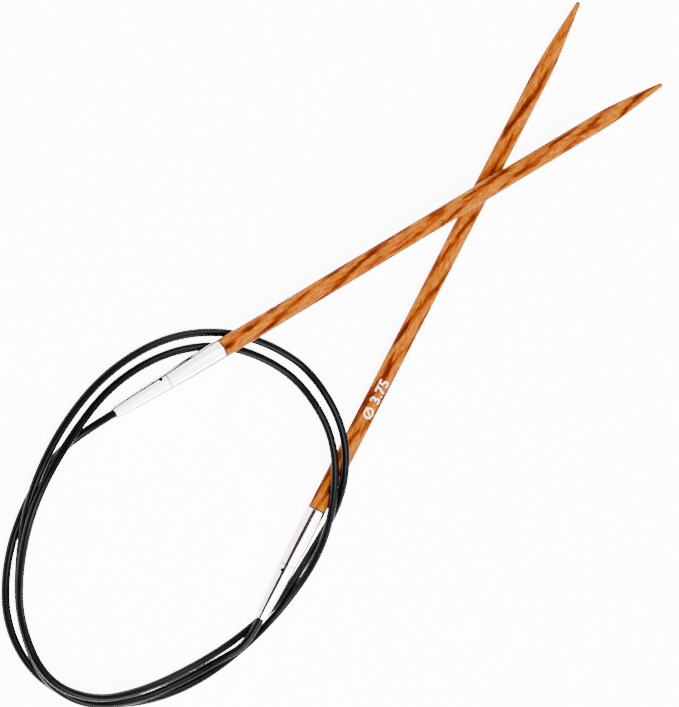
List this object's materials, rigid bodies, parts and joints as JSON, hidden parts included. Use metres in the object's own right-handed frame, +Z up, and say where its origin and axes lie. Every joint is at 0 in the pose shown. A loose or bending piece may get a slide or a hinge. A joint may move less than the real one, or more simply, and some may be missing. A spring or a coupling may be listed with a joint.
{
  "type": "circular knitting needle",
  "caption": "Circular knitting needle: pointed laminated-wood tips with metal ferrules that screw onto a thin black cord lying in loose loops.",
  "frame": {"origin": "on the surface the needle lies on, under the middle of the two rigid ends' bounding box, the cord left out", "axes": "+X along the line midway between the two crossed ends, from the cord towards their points; +Y level, towards the cord end of the upper needle (a); +Z up"},
  "size_m": [0.1783, 0.0785, 0.0087],
  "materials": {
    "laminated_wood": "gloss",
    "nickel": "polished",
    "black_cord": "satin"
  },
  "bodies": {
    "cord": {"cord": "black_cord", "cord_anchor_a": "nickel", "cord_anchor_b": "nickel"},
    "connector_a": {"connector_a": "nickel"},
    "tip_a": {"ferrule_a": "nickel", "wood_tip_a": "laminated_wood"},
    "connector_b": {"connector_b": "nickel"},
    "tip_b": {"ferrule_b": "nickel", "wood_tip_b": "laminated_wood"}
  },
  "joints": [
    {"name": "tip_a_unscrew", "type": "slide", "parent": "cord", "child": "tip_a", "axis": [0.9428, -0.332, 0.0315], "range_m": [0, 0.0036]},
    {"name": "connector_a_turn", "type": "hinge", "parent": "cord", "child": "connector_a", "pos_m": [-0.0641, 0.033, 0.0029], "axis": [-0.9428, 0.332, -0.0315], "range_deg": [0, 2881]},
    {"name": "tip_b_unscrew", "type": "slide", "parent": "cord", "child": "tip_b", "axis": [0.9432, 0.3322, -0.0071], "range_m": [0, 0.0036]},
    {"name": "connector_b_turn", "type": "hinge", "parent": "cord", "child": "connector_b", "pos_m": [-0.06891, -0.033, 0.00275], "axis": [-0.9432, -0.3322, 0.0071], "range_deg": [0, 2881]}
  ],
  "couplings": [
    {"joint": "connector_a_turn", "follows": "tip_a_unscrew", "rad_per_m": 13963},
    {"joint": "connector_b_turn", "follows": "tip_b_unscrew", "rad_per_m": 13963}
  ]
}
